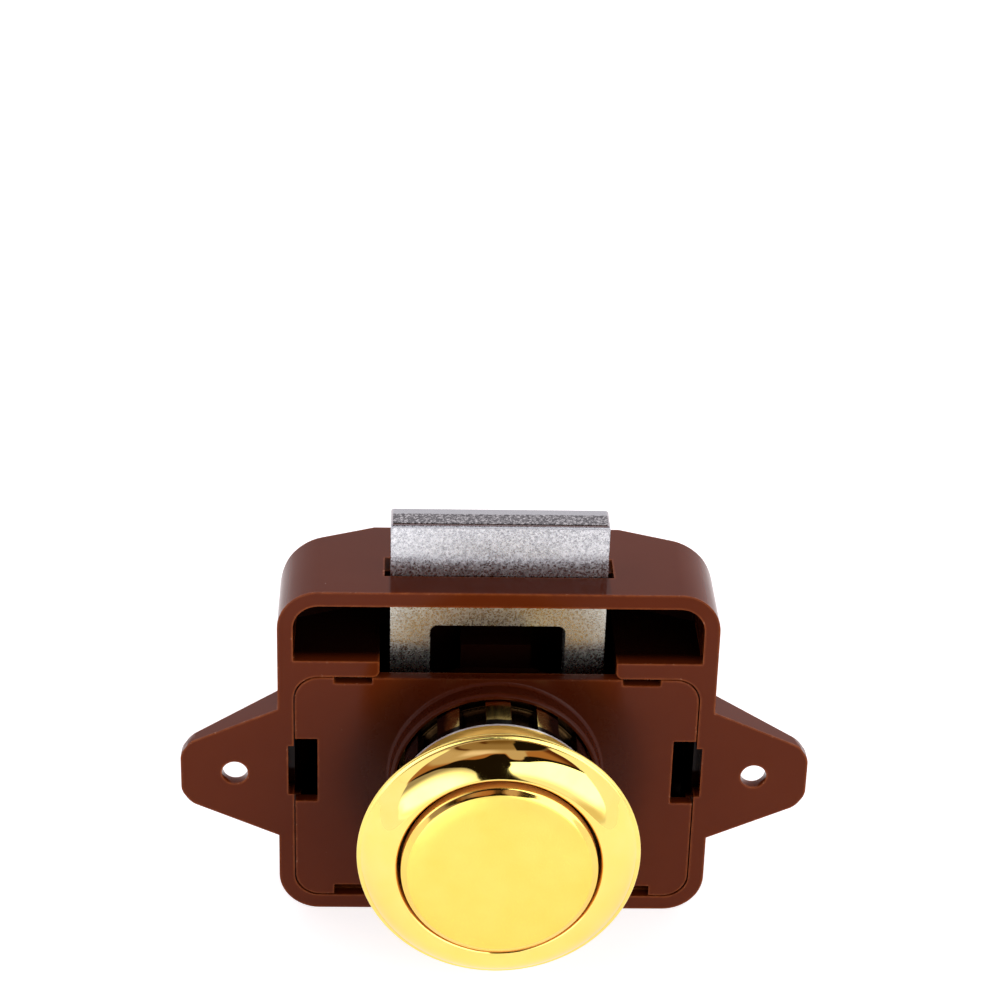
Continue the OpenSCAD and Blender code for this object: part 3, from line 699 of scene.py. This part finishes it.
grey_zinc, tree, shader = new_finish("grey_zinc")
place = piece_place(tree)
grains = add_node(tree, "ShaderNodeTexVoronoi", {"Vector": place, "Scale": 1 / grain_size})
grain_tone = add_node(tree, "ShaderNodeSeparateColor", {0: grains.outputs["Color"]}).outputs[0]
blotch = noise(tree, place, 0.5 * MM, 5.0, 0.7)
tone = maths(tree, "ADD", product(tree, grain_tone, 0.30), blotch)
colour = mix(tree, fade(tree, tone, 0.30, 0.95), zinc_dark, zinc_light)
print("grey zinc so far:", len(tree.nodes), "nodes")

# %% The bolt's end: smooth at the back, coarse in the middle with a painted dark reflection, a smooth round towards the front
x, y, z = split(tree, place)
on_end = past(tree, z, bolt_end - 0.07, 0.03)
near_end = past(tree, z, bolt_end - 0.56, 0.06)
wavy = maths(tree, "ADD", y, product(tree, blotch, 0.5 * MM))
to_back = past(tree, wavy, bolt_back - 1.35, 0.10)
# Painted reflection: the part of the bolt inside the case gets a warmer grey, for the brown case that
# it mirrors.
in_case = product(tree, short_of(tree, z, case_mouth, 0.3), warm_reflection_share)
colour = mix(tree, near_end, colour, zinc_round)
colour = mix(tree, in_case, colour, zinc_warm_reflection)
# Partly painted reflection: the coarse grain in the middle of the end is real, and its dark tone stands
# for the dim room that it mirrors.
coarse_tone = product(tree, grain_tone, fade(tree, blotch, 0.30, 0.70))
coarse = mix(tree, fade(tree, coarse_tone, 0.10, 0.60), coarse_zinc_shaded, zinc_bright)
end_colour = mix(tree, to_back, coarse, zinc_back)
colour = mix(tree, on_end, colour, end_colour)
haze = fade(tree, grain_tone, 0.0, 1.0, 0.22, 0.34)
pits = bumps(tree, noise(tree, place, 0.08 * MM, 3.0), 0.003 * MM)
wire_finish(grey_zinc, shader, colour, haze, pits, metal=1.0)

# %% Spring wire
wire_dark = (0.36, 0.36, 0.37)
wire_light = (0.62, 0.62, 0.63)

spring_wire, tree, shader = new_finish("spring_wire")
streak = noise(tree, piece_place(tree), 0.35 * MM, 4.0, 0.6)
colour = mix(tree, streak, wire_dark, wire_light)
haze = fade(tree, streak, 0.2, 0.8, 0.18, 0.32)
wire_finish(spring_wire, shader, colour, haze, bumps(tree, streak, 0.002 * MM), metal=1.0)

# %% Two plain plastics: milky for the bush, matt brown for the plunger
def new_plain_plastic(name, deep, pale, patch, grain, smooth, rough):
    """A dull plastic in patches of two close colours, sizes in mm."""
    finish, tree, shader = new_finish(name)
    place = piece_place(tree)
    cloud = noise(tree, place, patch * MM, 3.0)
    colour = mix(tree, cloud, deep, pale)
    haze = fade(tree, cloud, 0.2, 0.8, smooth, rough)
    grit = bumps(tree, noise(tree, place, grain * MM), 0.002 * MM)
    wire_finish(finish, shader, colour, haze, grit)
    return finish


milky_plastic = new_plain_plastic(
    "milky_plastic", deep=(0.66, 0.64, 0.56), pale=(0.74, 0.73, 0.67),
    patch=2.5, grain=0.3, smooth=0.32, rough=0.45,
)
matt_brown = new_plain_plastic(
    "matt_brown", deep=(0.040, 0.0120, 0.0060), pale=(0.058, 0.0190, 0.0100),
    patch=2.0, grain=0.2, smooth=0.35, rough=0.5,
)

# %% [markdown]
# ## Edges of the CAD pieces
#
# CAD edges are perfectly sharp, and no real edge is. A moulded edge is rounded by a tenth of a
# millimetre or two, and that thin round is what catches the light. The meshes come in as loose
# triangles, so the work is a short stack of modifiers: weld the corners, turn flat sides back into
# single faces, bevel what is sharper than 15 degrees, and weight the normals so that flat sides
# still look flat.

# %% A stack of modifiers that rounds the edges
def finish_cad_piece(name, finish, edge_round):
    """Material and rounded edges for a CAD node; its mesh stays as it is."""
    piece = nodes[name]
    piece.data.materials.clear()
    piece.data.materials.append(finish)
    if "custom_normal" in piece.data.attributes:
        piece.data.attributes.remove(piece.data.attributes["custom_normal"])
    for face in piece.data.polygons:
        face.use_smooth = True
        face.material_index = 0
    weld = piece.modifiers.new("weld", "WELD")
    weld.merge_threshold = 0.002 * MM
    whole = piece.modifiers.new("whole_faces", "DECIMATE")
    whole.decimate_type = "DISSOLVE"
    whole.angle_limit = math.radians(0.4)
    bevel = piece.modifiers.new("round_edges", "BEVEL")
    bevel.width = edge_round * MM
    bevel.segments = 2
    bevel.limit_method = "ANGLE"
    bevel.angle_limit = math.radians(15)
    bevel.miter_outer = "MITER_ARC"
    piece.modifiers.new("flat_sides", "WEIGHTED_NORMAL")
    return piece

# %% The pieces that keep their CAD mesh, each with its finish and the size of its rounds in mm
cad_finishes = {
    "case_shell": (brown_plastic, 0.16),
    "insert_cover": (brown_plastic, 0.13),
    "guide_bush": (milky_plastic, 0.12),
    "plunger": (matt_brown, 0.10),
    "cap_screw": (spring_wire, 0.06),
    "bolt_plate": (grey_zinc, 0.12),
    "latch_pin": (spring_wire, 0.05),
    "latch_spring": (spring_wire, 0.05),
}
for name, (finish, edge_round) in cad_finishes.items():
    piece = finish_cad_piece(name, finish, edge_round)
    print(name, len(piece.data.polygons), "faces in the CAD mesh")

# %% [markdown]
# The ears' outer corners are cut straight in CAD, and round in the photograph. A bevel can also
# follow weights on single edges, so the edges there that run through the plate get one, and a
# wider bevel rounds them before the general bevel does the rest.

# %% Round the ears' corners
ear_corner_x = 37.3 * MM
case = nodes["case_shell"]
weights = case.data.attributes.new("bevel_weight_edge", "FLOAT", "EDGE")
marked = 0
for edge in case.data.edges:
    first, second = (case.data.vertices[i].co for i in edge.vertices)
    runs_through = math.hypot(first.x - second.x, first.z - second.z) < 0.01 * MM
    if runs_through and abs(first.x) > ear_corner_x and (first - second).length > 0.5 * MM:
        weights.data[edge.index].value = 1.0
        marked += 1
round_corners = case.modifiers.new("round_corners", "BEVEL")
round_corners.width = 0.65 * MM
round_corners.segments = 5
round_corners.limit_method = "WEIGHT"
case.modifiers.move(len(case.modifiers) - 1, case.modifiers.find("round_edges"))
print(marked, "edges marked; modifiers:", [m.name for m in case.modifiers])

# %% [markdown]
# ## Turned pieces
#
# Ring and button are round and mirror everything, so the flats of a coarse mesh would show at
# once. They are turned, as on a lathe: a closed outline of half the section, radius and depth, is
# carried round the button's axis in small steps. Its corners are arcs, since plating is never sharp.

# %% Outline helpers
def arc(centre, radius, start, end, steps):
    """Points on an arc, angles in degrees; 0 points outward and 90 towards the case."""
    points = []
    for i in range(steps + 1):
        angle = math.radians(start + (end - start) * i / steps)
        points.append((centre[0] + radius * math.cos(angle), centre[1] + radius * math.sin(angle)))
    return points


def curve_points(function, start, end, steps):
    """Points of a curve given as a function of a number that goes from start to end."""
    return [function(start + (end - start) * i / steps) for i in range(steps + 1)]

# %% The lathe
def turn_on_lathe(name, outline, finish):
    """A mesh from a closed outline of (radius, y) points in millimetres, turned round the Y axis."""
    segments = 288
    mesh = bpy.data.meshes.new(name)
    points = []
    for i in range(segments):
        angle = 2 * math.pi * i / segments
        for radius, depth in outline:
            points.append((radius * math.cos(angle) * MM, depth * MM, radius * math.sin(angle) * MM))
    count = len(outline)
    faces = []
    for i in range(segments):
        here = i * count
        there = ((i + 1) % segments) * count
        for j in range(count):
            k = (j + 1) % count
            if outline[j][0] > 0 or outline[k][0] > 0:
                faces.append((here + j, here + k, there + k, there + j))
    mesh.from_pydata(points, [], faces)
    work = bmesh.new()
    work.from_mesh(mesh)
    bmesh.ops.remove_doubles(work, verts=work.verts, dist=0.0005 * MM)
    bmesh.ops.recalc_face_normals(work, faces=work.faces)
    work.to_mesh(mesh)
    work.free()
    mesh.shade_smooth()
    mesh.materials.append(finish)
    piece = put_in_scene(name, mesh)
    piece.modifiers.new("flat_sides", "WEIGHTED_NORMAL")
    print(name, len(mesh.vertices), "corners,", len(mesh.polygons), "faces")
    return piece

# %% Another finish on part of a turned piece
def paint_faces(piece, finish, chosen):
    """Put a finish on the faces for which chosen(radius, y), in millimetres, is true."""
    piece.data.materials.append(finish)
    index = len(piece.data.materials) - 1
    count = 0
    for face in piece.data.polygons:
        middle = face.center / MM
        if chosen(math.hypot(middle.x, middle.z), middle.y):
            face.material_index = index
            count += 1
    print(piece.name, finish.name, "on", count, "faces")

# %% [markdown]
# The ring clamps the door. Seen from the side it falls from a lip round the button to a thin brim,
# in one round curve, and its rim is cut back where it meets the door. A thin skirt behind it goes
# into the door's hole over the neck.

# %% The ring
ring_low, ring_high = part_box("rosette_ring")
ring_radius = ring_high.x / MM
ring_front = ring_low.y / MM
ring_back = ring_high.y / MM
door_face = -16.5
rim_height = 1.1
rim_round = 0.3
rim_cut = 0.7
brim_width = 0.55
dome_fall = 2.3
dome_tilt = math.radians(61)
lip_round = 0.3
hole_radius = 12.0
seat_depth = -15.7
skirt_radius = 12.85
skirt_root = 12.38
skirt_bore = 12.13
flare_start = ring_back - 3.4
flare_length = 2.9
small_round = 0.2
highlight_edge = 0.5
crown_radius = hole_radius + lip_round
dome_end = ring_radius - brim_width
rim_foot = ring_radius - 0.8 * rim_cut
hair = 0.1
behind = skirt_bore + hair


def ring_dome(t):
    """A point of the ring's round face, from the lip's crown at 0 to the brim at 1."""
    out = math.sin(t * dome_tilt) / math.sin(dome_tilt)
    fall = (1 - math.cos(t * dome_tilt)) / (1 - math.cos(dome_tilt))
    return (crown_radius + (dome_end - crown_radius) * out, ring_front + dome_fall * fall)


def skirt_flare(t):
    """A point of the skirt's outside, from its narrow part at 0 to its full width at 1."""
    swell = t * t * (3 - 2 * t)
    return (skirt_root + (skirt_radius - skirt_root) * swell, flare_start + flare_length * t)


ring_outline = (
    [(hole_radius, seat_depth)]
    + arc((crown_radius, ring_front + lip_round), lip_round, 180, 270, 8)
    + curve_points(ring_dome, 0, 1, 48)[1:]
    + [(dome_end + 0.08, door_face - rim_height - 0.08)]
    + arc((ring_radius - rim_round, door_face - rim_height + rim_round), rim_round, 270, 360, 8)
    + [(ring_radius, door_face - rim_cut), (ring_radius - 0.06, door_face - rim_cut + 0.10)]
    + [(rim_foot + 0.05, door_face - 0.05), (rim_foot, door_face), (skirt_root, door_face)]
    + curve_points(skirt_flare, 0, 1, 12)
    + arc((skirt_radius - small_round, ring_back - small_round), small_round, 0, 90, 4)
    + [(skirt_bore, ring_back), (skirt_bore, seat_depth)]
)
ring = turn_on_lathe("ring", ring_outline, polished_gold)
paint_faces(ring, rough_gold, lambda r, y: r < hole_radius + 0.2 and ring_front + hair < y < seat_depth)
paint_faces(ring, soft_gold, lambda r, y: r > dome_end and y < door_face - 0.02)
paint_faces(ring, dull_gold, lambda r, y: r > behind and door_face - rim_cut < y < flare_start)
paint_faces(ring, skirt_gold, lambda r, y: r > behind and y > flare_start)
# Painted highlight: a pale, mostly matt band on the skirt's thin back edge.
paint_faces(ring, pale_edge_highlight, lambda r, y: r > behind and y > ring_back - highlight_edge)
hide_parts("rosette_ring")
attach(ring, "root")

# %% [markdown]
# The button is a satin disc, hardly domed, with a polished edge. Behind it the body narrows to a
# waist, which fingers pull on when the button stands out, and widens again into the barrel that
# slides in the neck. It is hollow, with a boss in the middle for a screw.

# %% The button
button_low, button_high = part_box("button_cap")
disc_face = button_low.y / MM
barrel_back = button_high.y / MM
flange_radius = button_high.x / MM
head_radius = 11.55
disc_radius = 10.85
disc_dome = 0.06
disc_flat = 8.4
disc_roll = 0.20
disc_bevel = 0.52
border_round = 0.12
head_round = 0.3
flange_round = 0.1
head_back = disc_face + 2.35
waist_radius = 7.8
barrel_radius = 10.6
barrel_start = head_back + 10.0
flange_front = barrel_back - 1.7
cap_wall = 1.2
barrel_bore = 9.85
boss_radius = 2.7
boss_back = barrel_start - 0.05
pilot_radius = 1.22
pilot_end = barrel_start - 3.4
hollow_front = head_back - 0.2
edge_end = disc_face + 1.0
side_start = disc_face + 0.95


def grip(depth):
    """A point of the finger grip, from the waist behind the head out to the barrel."""
    t = (depth - head_back) / (barrel_start - head_back)
    return (waist_radius + (barrel_radius - waist_radius) * t ** 1.5, depth)


def grip_inside(depth):
    """The same curve one wall further in."""
    radius, _ = grip(depth)
    return (radius - cap_wall, max(depth, hollow_front))


def disc(radius):
    """A point of the disc, which is nearly flat and rolls back a little towards its border."""
    roll = max(0.0, (radius - disc_flat) / (disc_radius - disc_flat)) ** 2
    return (radius, disc_face + disc_dome * (radius / disc_radius) ** 2 + disc_roll * roll)


def chamfer(t):
    """A point of the slanted edge round the disc."""
    out = disc_radius + 0.08 + (head_radius - disc_radius - 0.15) * t
    return (out, disc_border + 0.06 + (disc_bevel - 0.06) * t)


disc_border = disc_face + disc_dome + disc_roll
button_outline = (
    curve_points(disc, 0.0, disc_radius - 0.05, 40)
    + arc((disc_radius - 0.05, disc_border + border_round), border_round, 280, 308, 4)
    + curve_points(chamfer, 0, 1, 4)
    + arc((head_radius - border_round, disc_border + disc_bevel + 0.10), border_round, 306, 360, 4)
    + arc((head_radius - head_round, head_back - head_round), head_round, 0, 90, 6)
    + curve_points(grip, head_back, barrel_start, 36)
    + [(barrel_radius, flange_front)]
    + arc((flange_radius - flange_round, flange_front + flange_round), flange_round, 270, 360, 3)
    + arc((flange_radius - flange_round, barrel_back - flange_round), flange_round, 0, 90, 3)
    + [(barrel_bore, barrel_back), (barrel_bore, barrel_start)]
    + curve_points(grip_inside, barrel_start, head_back, 24)[1:]
    + [(boss_radius, hollow_front), (boss_radius, boss_back), (pilot_radius, boss_back)]
    + [(pilot_radius, pilot_end), (0.0, pilot_end)]
)
button = turn_on_lathe("button", button_outline, polished_gold)
paint_faces(button, edge_gold, lambda r, y: r > disc_radius - hair and y < edge_end)
paint_faces(button, satin_gold, lambda r, y: r < disc_radius and y < disc_border + 0.06)
paint_faces(button, rough_gold, lambda r, y: r > head_radius - 0.01 and side_start < y < head_back)
# Painted shade: the barrel behind the ring is nearly black.
paint_faces(button, shade_black_metal, lambda r, y: y > ring_back - 0.4)
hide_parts("button_cap")
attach(button, "button")

# %% [markdown]
# ## The neck sleeve
#
# Between the case and the ring runs a plated tube with a row of windows near the case. Boolean
# modifiers could cut them, but leave ragged faces round each window. The tube is a grid wrapped
# into a cylinder, so a window is some faces left out, with short walls from outside to inside.

# %% The tube and its windows
sleeve_low, sleeve_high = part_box("neck_sleeve")
sleeve_radius = sleeve_high.x / MM
sleeve_front = sleeve_low.y / MM
sleeve_back = sleeve_high.y / MM
sleeve_wall = 0.96
sleeve_lip = 1.1
sleeve_lip_radius = 10.7
window_count = 12
window_width = 3.2
window_front = -7.4
window_back = -1.3
strips_in_window = 4
strips_in_gap = 5

window_half = math.degrees(math.asin(window_width / 2 / sleeve_radius))
window_step = 360 / window_count
window_strip = 2 * window_half / strips_in_window
gap_strip = (window_step - 2 * window_half) / strips_in_gap
ring_angles = []
for i in range(window_count):
    start = (i + 0.5) * window_step - window_half
    ring_angles += [start + window_strip * k for k in range(strips_in_window)]
    gap_start = start + 2 * window_half
    ring_angles += [gap_start + gap_strip * k for k in range(strips_in_gap)]
steps_round = len(ring_angles)
print("window half angle:", round(window_half, 2), "degrees; steps round the tube:", steps_round)

# %% Build the tube
sleeve_depths = [sleeve_front, window_front, window_back, sleeve_back]
bore_depths = [sleeve_front + sleeve_lip, window_front, window_back, sleeve_back]
sleeve_mesh = bmesh.new()


def tube_rings(radius, depths):
    """Rings of corners round the tube, one for each depth."""
    rings = []
    for depth in depths:
        ring_corners = []
        for degrees in ring_angles:
            angle = math.radians(degrees)
            corner = (radius * math.sin(angle) * MM, depth * MM, radius * math.cos(angle) * MM)
            ring_corners.append(sleeve_mesh.verts.new(corner))
        rings.append(ring_corners)
    return rings


def in_window(step):
    """Whether the strip after this step lies in a window."""
    return step % (strips_in_window + strips_in_gap) < strips_in_window


def join(first, second, step):
    """A face between two rings of corners, from this step to the next."""
    after = (step + 1) % steps_round
    sleeve_mesh.faces.new((first[step], first[after], second[after], second[step]))


outside = tube_rings(sleeve_radius, sleeve_depths)
inside = tube_rings(sleeve_radius - sleeve_wall, bore_depths)
lip_rings = tube_rings(sleeve_lip_radius, [sleeve_front, sleeve_front + sleeve_lip])
for step in range(steps_round):
    for level in range(3):
        if level == 1 and in_window(step):
            join(outside[1], inside[1], step)
            join(outside[2], inside[2], step)
        else:
            join(outside[level], outside[level + 1], step)
            join(inside[level], inside[level + 1], step)
    after = (step + 1) % steps_round
    if in_window(step) != in_window(after):
        window_side = outside[1][after], outside[2][after], inside[2][after], inside[1][after]
        sleeve_mesh.faces.new(window_side)
    join(outside[3], inside[3], step)
    join(outside[0], lip_rings[0], step)
    join(lip_rings[0], lip_rings[1], step)
    join(lip_rings[1], inside[0], step)
print("tube:", len(sleeve_mesh.faces), "faces before its edges are rounded")

# %% Finish the tube: dark inside, gold outside, edges rounded
bmesh.ops.recalc_face_normals(sleeve_mesh, faces=sleeve_mesh.faces)
sleeve_data = bpy.data.meshes.new("neck_tube")
sleeve_mesh.to_mesh(sleeve_data)
sleeve_mesh.free()
sleeve_data.shade_smooth()
sleeve_data.materials.append(neck_gold)
sleeve_data.materials.append(shade_black_metal)
# Painted shade: the faces inside the tube get the nearly black metal.
for face in sleeve_data.polygons:
    if math.hypot(face.center.x, face.center.z) / MM < sleeve_radius - 0.15:
        face.material_index = 1
neck_tube = put_in_scene("neck_tube", sleeve_data)
bevel = neck_tube.modifiers.new("round_edges", "BEVEL")
bevel.width = 0.09 * MM
bevel.segments = 2
bevel.limit_method = "ANGLE"
bevel.angle_limit = math.radians(40)
neck_tube.modifiers.new("flat_sides", "WEIGHTED_NORMAL")
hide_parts("neck_sleeve")
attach(neck_tube, "root")
print("neck tube:", len(sleeve_data.polygons), "faces")

# %% [markdown]
# ## The springs
#
# A compression spring is wire wound at an even pitch, apart from its ends, where the last turn
# lies on the one before so that the spring stands square. The wire is swept along such a line. One
# end of each spring sits on the case and the other on the button or the bolt.

# %% Wind a spring
def wind_spring(name, base, along, mean_radius, wire_radius, length, turns):
    """A spring from the point base along the direction along, all in millimetres."""
    per_turn = 40
    sides = 12
    closed_turns = 0.8
    opening_turns = 0.5
    total = per_turn * turns
    closed_pitch = 2.04 * wire_radius
    rises = []
    for i in range(total):
        turn_here = i / per_turn
        from_end = min(turn_here, turns - turn_here)
        rises.append(min(max((from_end - closed_turns) / opening_turns, 0.0), 1.0))
    free = length - 2 * wire_radius - closed_pitch * turns
    share = free / sum(rises)
    axis = Vector(along).normalized()
    first = axis.orthogonal().normalized()
    second = axis.cross(first)
    mesh = bmesh.new()
    rings = []
    height = wire_radius
    for i in range(total + 1):
        angle = 2 * math.pi * i / per_turn
        outward = first * math.cos(angle) + second * math.sin(angle)
        centre = Vector(base) + axis * height + outward * mean_radius
        ring_corners = []
        for j in range(sides):
            b = 2 * math.pi * j / sides
            corner = centre + outward * (wire_radius * math.cos(b)) + axis * (wire_radius * math.sin(b))
            ring_corners.append(mesh.verts.new(corner * MM))
        rings.append(ring_corners)
        if i < total:
            height += closed_pitch / per_turn + share * rises[i]
    for i in range(total):
        for j in range(sides):
            k = (j + 1) % sides
            mesh.faces.new((rings[i][j], rings[i][k], rings[i + 1][k], rings[i + 1][j]))
    mesh.faces.new(rings[0])
    mesh.faces.new(rings[-1])
    bmesh.ops.recalc_face_normals(mesh, faces=mesh.faces)
    data = bpy.data.meshes.new(name)
    mesh.to_mesh(data)
    mesh.free()
    data.shade_smooth()
    data.materials.append(spring_wire)
    spring = put_in_scene(name, data)
    print(name, "ends at", round(height + wire_radius, 3), "mm of", round(length, 3))
    return spring

# %% The main spring, between the case's back and the button
main_low, main_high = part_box("main_spring")
main_length = (main_high.y - main_low.y) / MM
main_wire = 0.4
main_mean = main_high.x / MM - main_wire
main_coil = wind_spring(
    "main_coil", (0, main_low.y / MM, 0), (0, 1, 0), main_mean, main_wire, main_length, 9
)
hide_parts("main_spring")
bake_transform(main_coil)

# %% The two return springs, between the case and the bolt's lugs
return_wire = 0.3
for side_name in ("left", "right"):
    low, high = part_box("return_spring_" + side_name)
    middle = (low + high) / 2 / MM
    mean = (high.y - low.y) / MM / 2 - return_wire
    coil_length = (high.z - low.z) / MM
    coil = wind_spring(
        "return_coil_" + side_name, (middle.x, middle.y, low.z / MM), (0, 0, 1),
        mean, return_wire, coil_length, 6,
    )
    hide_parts("return_spring_" + side_name)
    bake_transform(coil)
